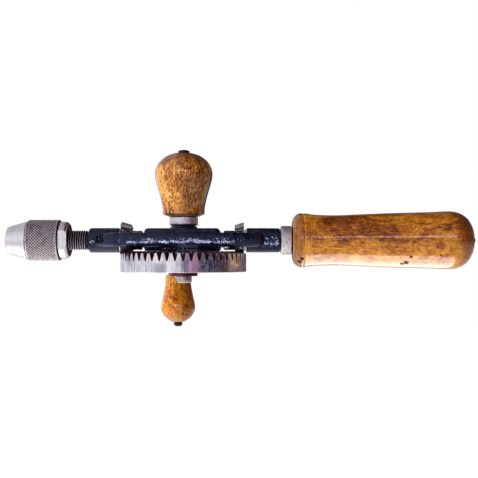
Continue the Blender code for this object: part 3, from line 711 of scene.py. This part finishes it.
def build_gear(plate, paint):
    """The gear in two pieces: the plated, toothed rim and the painted web with its hub."""
    rings = [
        gear_ring(GEAR_FACE_INNER, 0.15),
        gear_ring(GEAR_FACE_INNER + 0.2),
        gear_ring(GEAR_RADIUS - 0.2),
        gear_ring(GEAR_RADIUS, 0.15),
    ]
    count = len(rings[0])
    angles = [math.atan2(y, x) for x, y, _ in rings[0]]
    underside = [
        (GEAR_RADIUS, GEAR_BOTTOM_Z + 0.3), (41.7, GEAR_BOTTOM_Z), (39.6, GEAR_BOTTOM_Z), (39.35, -20.8),
        (38.6, -17.2), (GEAR_FACE_INNER, -16.4),
    ]
    for radius, z in underside:
        rings.append([(radius * math.cos(a), radius * math.sin(a), z) for a in angles])
    points = [p for ring in rings for p in ring]
    made = new_object("gear_toothed_rim", points, grid_faces(len(rings), count, True), 34.0)
    finish_piece(made, plate, "crank", "gear_plate", "drive_gear")
    bore = AXLE_RADIUS + GAP
    web = [
        (-13.4, 34.45, 0.0), (-13.4, 12.2, 0.9), (-11.6, 11.0, 0.8), (-9.6, 11.0, 0.5), (-9.6, bore, 0.3),
        (-21.7, bore, 0.3), (-21.7, 11.0, 0.5), (-17.6, 11.0, 0.8), (-16.2, 12.6, 0.9), (-16.2, 34.45, 0.0),
    ]
    disc = turned("gear_painted_web", rounded(web, 0.3, 4), "Z", 144, closed=True)
    for i in range(WEB_HOLES):
        angle = ARM_ANGLE + 2 * math.pi * (i + 0.5) / WEB_HOLES
        spot = (WEB_HOLE_RING * math.cos(angle), WEB_HOLE_RING * math.sin(angle))
        disc = cut_away(disc, rod_object("Z", -30.0, -5.0, WEB_HOLE_RADIUS, spot, 64))
    soften(disc)
    finish_piece(disc, paint, "crank", "crank_enamel")


def rivet_spot(angle):
    return RIVET_RING * math.cos(angle), RIVET_RING * math.sin(angle)


def build_crank_arm(paint):
    """The arm: a flat strip round its hub and its knob pin, with straight sides, bores and rivet holes."""
    slant = math.asin((ARM_HUB_RADIUS - ARM_END_RADIUS) / ARM_LENGTH)
    steps = 40
    hub_end = (0.0, ARM_HUB_RADIUS, math.pi / 2 - slant, math.pi + 2 * slant)
    knob_end = (ARM_LENGTH, ARM_END_RADIUS, -math.pi / 2 + slant, math.pi - 2 * slant)
    outline = []
    for centre, radius, first, sweep in (hub_end, knob_end):
        for i in range(steps + 1):
            angle = first + sweep * i / steps
            outline.append((centre + radius * math.cos(angle), radius * math.sin(angle)))
    turn = Matrix.Rotation(ARM_ANGLE, 2)
    outline = [tuple(turn @ Vector(p)) for p in outline]
    count = len(outline)
    points = [(x, y, z) for z in (ARM_BOTTOM_Z, ARM_TOP_Z) for x, y in outline]
    faces = grid_faces(2, count, False) + [tuple(range(count)), tuple(range(count, 2 * count))]
    made = new_object("crank_arm_strip", points, faces)
    holes = [((0.0, 0.0), AXLE_RADIUS + GAP, 64), (KNOB_AXIS, PIN_RADIUS + GAP, 48)]
    holes += [(rivet_spot(angle), RIVET_RADIUS + 0.25, 32) for angle in RIVET_ANGLES]
    for spot, radius, segments in holes:
        made = cut_away(made, rod_object("Z", -30.0, -18.0, radius, spot, segments))
    soften(made)
    finish_piece(made, paint, "crank", "crank_enamel", "crank_arm")


def build_small_turned(
    node, name, body, slot, profile, axis, material, centre=(0.0, 0.0), fillet=0.2, segments=72
):
    """A small solid turned piece that stands for a CAD node."""
    made = turned(name, rounded(profile, fillet, 4), axis, segments, centre)
    return finish_piece(made, material, body, slot, node)


def build_rods(dark, bright):
    """The rod, the stud, the knob's pin, the idler's axle and the arm's rivets."""
    rod = [
        (50.0, 0.3), (50.0, ROD_RADIUS), (184.5, ROD_RADIUS), (185.0, ROD_END_RADIUS, 0.1),
        (195.4, ROD_END_RADIUS), (196.1, 1.2), (196.1, 0.2),
    ]
    build_small_turned("handle_rod", "handle_rod_turned", "frame", "dark_steel", rod, "X", dark, fillet=0.3)
    stud = [
        (2.3, 0.3), (2.3, STUD_RADIUS), (59.1, STUD_RADIUS, 0.05), (59.1, 3.9, 0.2), (60.2, 3.8, 0.6),
        (60.8, 2.4, 0.6), (60.8, 0.2),
    ]
    build_small_turned("side_handle_stud", "side_stud_turned", "frame", "dark_steel", stud, "Z", dark)
    pin = [
        (-20.8, 0.3), (-20.9, 2.0, 0.4), (-21.4, 3.4, 0.4), (-21.75, 3.7, 0.1), (-21.75, PIN_RADIUS, 0.05),
        (-59.6, PIN_RADIUS, 0.05), (-59.6, 3.2, 0.2), (-61.2, 3.2, 0.6), (-62.3, 2.0, 0.5), (-62.5, 0.3),
    ]
    build_small_turned("crank_knob_pin", "crank_pin_turned", "crank", "dark_steel", pin, "Z", dark, KNOB_AXIS)
    axle = [(17.4, 0.3), (17.4, IDLER_AXLE_RADIUS), (47.0, IDLER_AXLE_RADIUS), (47.0, 0.3)]
    ends = {"fillet": 0.4}
    build_small_turned("idler_axle", "idler_axle_turned", "frame", "bright_steel", axle, "X", bright, **ends)
    rivet = [
        (-17.0, 0.2), (-17.0, RIVET_RADIUS), (-24.2, RIVET_RADIUS, 0.05), (-24.2, 1.75, 0.1),
        (-24.9, 1.3, 0.5), (-25.1, 0.2),
    ]
    for number, angle in enumerate(RIVET_ANGLES, 1):
        node = "crank_rivet_" + str(number)
        place = {"centre": rivet_spot(angle), "segments": 40}
        build_small_turned(node, node + "_turned", "crank", "bright_steel", rivet, "Z", bright, **place)


def build_axle_screw(material):
    """The gear's axle, with a slotted head."""
    screw = [
        (-0.8, 0.3), (-0.8, 4.0, 0.4), (-8.1, 4.0, 0.1), (-8.1, AXLE_RADIUS, 0.2), (-24.3, AXLE_RADIUS, 0.05),
        (-24.3, 5.45, 0.2), (-28.5, 5.45, 0.7), (-28.5, 0.3),
    ]
    made = turned("gear_axle_turned", rounded(screw, 0.2, 5), "Z", 96)
    slot_turn = Matrix.Rotation(0.6, 4, "Z")
    made = cut_away(made, box_object((-9.0, -0.7, -30.0), (9.0, 0.7, -27.3), slot_turn))
    made.data.shade_smooth()
    made.data.set_sharp_from_angle(angle=math.radians(30))
    finish_piece(made, material, "frame", "bright_steel", "gear_axle_screw")


def build_washers(material):
    washers = [
        ("gear_thrust_washer", "Z", -9.3, -8.1, AXLE_RADIUS, 10.0),
        ("drive_thrust_washer", "X", -42.7, -42.0, SPINDLE_RADIUS, 7.9),
        ("idler_thrust_washer", "X", 40.8, 41.8, IDLER_AXLE_RADIUS, 7.2),
    ]
    for name, axis, low, high, pin_radius, outer in washers:
        inner = pin_radius + GAP
        ring = [(low, inner), (low, outer), (high, outer), (high, inner), (low, inner)]
        made = turned(name + "_turned", rounded(ring, 0.15, 3)[:-1], axis, 80, closed=True)
        finish_piece(made, material, "frame", "bright_steel", name)


def dress_kept_nodes(dark, bright, cut_steel, jaw):
    """Finishes for the CAD nodes that stay: the pinions, their pin, the chuck's nut and its jaws."""
    kept = [
        ("drive_pinion", cut_steel, 0.18),
        ("idler_pinion", cut_steel, 0.18),
        ("drive_pinion_pin", bright, 0.1),
        ("chuck_nut", dark, 0.1),
    ]
    kept += [("chuck_jaw_" + str(number), jaw, 0.15) for number in (1, 2, 3)]
    for name, material, edge in kept:
        dress_node(name, material, crisp(edge))


# ---------------------------------------------------------------- studio


def softbox(name, place, aim, size, brightness, mirrored=True, only=()):
    """A rectangular light whose own surface has this brightness.

    Shiny pieces may mirror it or not, and it may light only some pieces. Places and sizes are in metres.
    """
    data = bpy.data.lights.new(name, "AREA")
    data.shape = "RECTANGLE"
    data.size, data.size_y = size
    data.energy = math.pi * size[0] * size[1] * brightness
    light = bpy.data.objects.new(name, data)
    light.location = place
    light.rotation_euler = (Vector(aim) - Vector(place)).to_track_quat("-Z", "Y").to_euler()
    light.visible_camera = False
    light.visible_glossy = mirrored
    bpy.context.scene.collection.objects.link(light)
    if only:
        lit = bpy.data.collections.new(name + "_lights")
        for piece in only:
            lit.objects.link(piece)
        light.light_linking.receiver_collection = lit


def build_world():
    """The room that the metal mirrors: a shade for each direction round the upright, darker above.

    Directions are degrees from the camera's side towards the long handle. The camera itself sees white.
    """
    room = [
        (-180, (0.07, 0.07, 0.08)), (-174, (0.08, 0.08, 0.09)), (-166, (0.36, 0.35, 0.38)),
        (-158, (0.68, 0.67, 0.71)), (-60, (0.86, 0.85, 0.89)), (-12, (0.92, 0.91, 0.94)),
        (-3, (1.05, 1.04, 1.06)), (1, (0.26, 0.26, 0.40)), (9, (0.20, 0.19, 0.32)),
        (12, (0.64, 0.35, 0.52)), (27, (0.38, 0.21, 0.33)), (34, (0.046, 0.038, 0.085)),
        (64, (0.042, 0.030, 0.060)), (95, (0.15, 0.090, 0.080)), (140, (0.17, 0.12, 0.12)),
        (168, (0.08, 0.07, 0.08)),
    ]
    g = Graph("studio", world=True)
    x, y, z = g.split(g.add("TexCoord").outputs["Generated"])
    azimuth = g.math("ARCTAN2", x, g.math("MULTIPLY", y, -1.0))
    round_share = g.fit(azimuth, -math.pi, math.pi)
    shade = g.ramp(round_share, [((degrees + 180.0) / 360.0, colour) for degrees, colour in room])
    height = g.fit(z, 0.25, 0.95, 1.0, 0.5)
    mirrored = g.add("VectorMath", {"operation": "SCALE"}, i0=shade, Scale=height).outputs[0]
    by_camera = g.add("LightPath").outputs["Is Camera Ray"]
    g.set(Color=g.mix(by_camera, mirrored, (1.0, 1.0, 1.0)), Strength=1.0)
    bpy.context.scene.world = g.owner
    bpy.context.scene.view_settings.view_transform = "Standard"


def build_floor():
    """A pale paper floor that the camera sees as white, with its own glow in what the metal mirrors."""
    corners = [(-FLOOR_REACH, -FLOOR_REACH), (FLOOR_REACH, -FLOOR_REACH)]
    corners += [(-x, -y) for x, y in corners]
    floor = new_object("studio_floor", [(x, y, FLOOR_Z) for x, y in corners], [(0, 1, 2, 3)])
    g = Graph("studio_floor_paper")
    paper = g.noise(g.place((30.0, 30.0, 30.0)), 1.0, 3.0)
    g.set(Base_Color=g.mix(paper, (0.42, 0.42, 0.42), (0.46, 0.46, 0.46)), Roughness=0.8)
    rays = g.add("LightPath").outputs
    mirrored = g.math("MULTIPLY", rays["Is Glossy Ray"], 0.46)
    by_camera = g.math("MULTIPLY", rays["Is Camera Ray"], 0.95)
    g.set(Emission_Color=(1.0, 1.0, 1.0), Emission_Strength=g.math("MAXIMUM", mirrored, by_camera))
    floor.data.materials.append(g.owner)


def build_lights(handle, knobs, casting, pinions):
    """Two fills that nothing mirrors, one fill from below, and strips for the highlights of some pieces."""
    centre = (0.03, 0.0, 0.0)
    softbox("key_left", (-0.72, -0.28, 0.10), centre, (1.0, 0.80), 2.6, mirrored=False)
    softbox("overhead", (0.0, -0.10, 0.75), centre, (1.0, 0.5), 0.08, mirrored=False)
    softbox("under_handle", (0.172, 0.10, -0.24), (0.172, 0.10, 0.0), (0.165, 0.40), 5.2, only=[handle])
    softbox("under_left", (-0.30, 0.04, -0.36), (-0.30, 0.04, 0.0), (0.66, 0.5), 0.75)
    softbox("low_strip", (-0.095, -0.95, -0.225), (-0.02, 0.0, 0.0), (0.50, 0.085), 60.0, only=[casting])
    softbox("front_strip", (0.02, -0.95, 0.22), centre, (0.9, 0.045), 9.0, only=[handle, *knobs, *pinions])


def build_camera():
    """A camera in front of the drill, a little below its middle and looking slightly up."""
    data = bpy.data.cameras.new("camera")
    data.lens = 60.0
    data.sensor_width = 36.0
    data.clip_start = 0.01
    made = bpy.data.objects.new("camera", data)
    made.location = (0.0372, -0.536, -0.0125)
    made.rotation_euler = (math.radians(91.43), 0.0, 0.0)
    bpy.context.scene.collection.objects.link(made)
    bpy.context.scene.camera = made


def build_woods():
    """The three turned grips."""
    knots = [((147.2, -10.8, -15.0), 2.2), ((145.0, -9.6, -15.9), 1.8), ((149.8, -14.9, -11.0), 1.3)]
    knots += [((77.0, -10.5, -14.2), 1.9), ((78.8, -13.0, -12.4), 1.6), ((169.0, -16.2, -10.2), 0.8)]
    amber = wood(
        "handle_varnished_wood",
        "X",
        shades=((0.15, 0.032, 0.002), (0.41, 0.110, 0.006), (0.63, 0.215, 0.012), (0.84, 0.39, 0.045)),
        seed=2.0,
        speckle=0.28,
        knots=knots,
        tone_and_shade_lean=0.0010,
        ends=(79.6, 178.0),
    )
    honey = wood(
        "side_knob_varnished_wood",
        "Z",
        shades=((0.13, 0.030, 0.003), (0.50, 0.155, 0.014), (0.84, 0.38, 0.055), (1.0, 0.68, 0.26)),
        seed=5.0,
        speckle=0.46,
        tone_and_shade_lean=0.0004,
        ends=(16.6, 47.0),
    )
    orange = wood(
        "crank_knob_varnished_wood",
        "Z",
        shades=((0.18, 0.032, 0.001), (0.60, 0.140, 0.003), (0.90, 0.31, 0.006), (1.0, 0.50, 0.030)),
        seed=8.0,
        speckle=0.45,
    )
    return build_main_handle(amber), (build_side_knob(honey), build_crank_knob(orange))


def build_ferrules():
    # Lit and shaded copies of one cast aluminium: the side ferrule's lighter copy is painted light and the
    # handle ferrule's darker copy is painted shade.
    bright = cast_metal("ferrule_aluminium", dark=(0.70, 0.69, 0.72), light=(1.0, 0.99, 1.0), seed=1.0)
    painted_shade_aluminium = cast_metal("handle_ferrule_aluminium", dark=(0.48, 0.44, 0.46), light=(1.0, 0.96, 0.97), seed=4.0)
    build_ferrule("handle_ferrule_cast", "X", 65.0, 72.5, ROD_RADIUS + GAP, painted_shade_aluminium, "handle_ferrule")
    build_ferrule("side_ferrule_cast", "Z", 9.9, 15.7, STUD_RADIUS + GAP, bright, "side_handle_ferrule")


def build_chuck_and_spindle(dark):
    """The chuck's outside and the spindle, with bright turned steel, and a knurl and a thread with painted
    shade in their grooves.
    """
    nose = turned_steel(
        "chuck_satin_steel",
        "X",
        dark=(0.82, 0.79, 0.82),
        light=(0.97, 0.94, 0.97),
        rough=(0.28, 0.42),
        seed=3.0,
    )
    knurl = grooved_steel(
        "knurled_steel",
        shaded_valley=(0.036, 0.029, 0.032),
        crest=(0.94, 0.86, 0.90),
        low=13.30,
        high=13.72,
        rough=(0.28, 0.5),
        seed=4.0,
        brown=(0.16, 0.11, 0.09),
    )
    build_chuck_sleeve(nose, knurl)
    collar = turned_steel(
        "chuck_body_steel",
        "X",
        dark=(0.68, 0.64, 0.66),
        light=(1.0, 0.98, 1.0),
        rough=(0.20, 0.36),
        seed=6.0,
        recess_shade=(-76.95, 10.9),
    )
    build_chuck_body(collar)
    thread = grooved_steel(
        "thread_steel",
        shaded_valley=(0.008, 0.006, 0.009),
        crest=(0.48, 0.42, 0.48),
        low=5.95,
        high=6.6,
        rough=(0.25, 0.5),
        seed=7.0,
    )
    build_spindle(dark, thread)


def build_gear_and_arm():
    maroon = enamel(
        "maroon_enamel",
        deep=(0.090, 0.006, 0.015),
        pale=(0.29, 0.018, 0.046),
        sheen=(1.0, 0.70, 0.75),
        seed=3.0,
        lump=0.2,
    )
    build_gear(plated_rim("gear_nickel"), maroon)
    build_crank_arm(maroon)


def build_hardware(dark):
    bright = turned_steel(
        "bright_steel",
        "X",
        dark=(0.42, 0.41, 0.41),
        light=(0.72, 0.71, 0.71),
        rough=(0.22, 0.40),
        seed=1.0,
        rings=0.5,
    )
    axle = turned_steel(
        "axle_steel", "Z", dark=(0.36, 0.30, 0.28), light=(0.80, 0.77, 0.76), rough=(0.14, 0.30), seed=2.0
    )
    cut_steel = turned_steel(
        "pinion_steel",
        "X",
        dark=(0.10, 0.09, 0.09),
        light=(0.50, 0.48, 0.48),
        rough=(0.10, 0.24),
        seed=5.0,
        rings=0.6,
    )
    jaw = turned_steel(
        "jaw_steel",
        "X",
        dark=(0.16, 0.15, 0.15),
        light=(0.42, 0.41, 0.41),
        rough=(0.25, 0.42),
        seed=9.0,
        rings=0.5,
    )
    build_rods(dark, bright)
    build_axle_screw(axle)
    build_washers(bright)
    dress_kept_nodes(dark, bright, cut_steel, jaw)


def main():
    navy = enamel(
        "navy_enamel",
        deep=(0.0012, 0.0016, 0.0045),
        pale=(0.0060, 0.0085, 0.027),
        sheen=(0.62, 0.66, 1.0),
        seed=1.0,
        lump=0.72,
    )
    casting = build_frame(navy)
    handle, knobs = build_woods()
    build_ferrules()
    dark = turned_steel(
        "blackened_steel",
        "X",
        dark=(0.016, 0.014, 0.015),
        light=(0.07, 0.06, 0.06),
        rough=(0.32, 0.55),
        seed=2.0,
        rings=0.4,
    )
    build_chuck_and_spindle(dark)
    build_gear_and_arm()
    build_hardware(dark)
    build_world()
    build_floor()
    pinions = (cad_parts["drive_pinion"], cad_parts["idler_pinion"])
    build_lights(handle, knobs, casting, pinions)
    build_camera()


main()
bpy.context.view_layer.update()
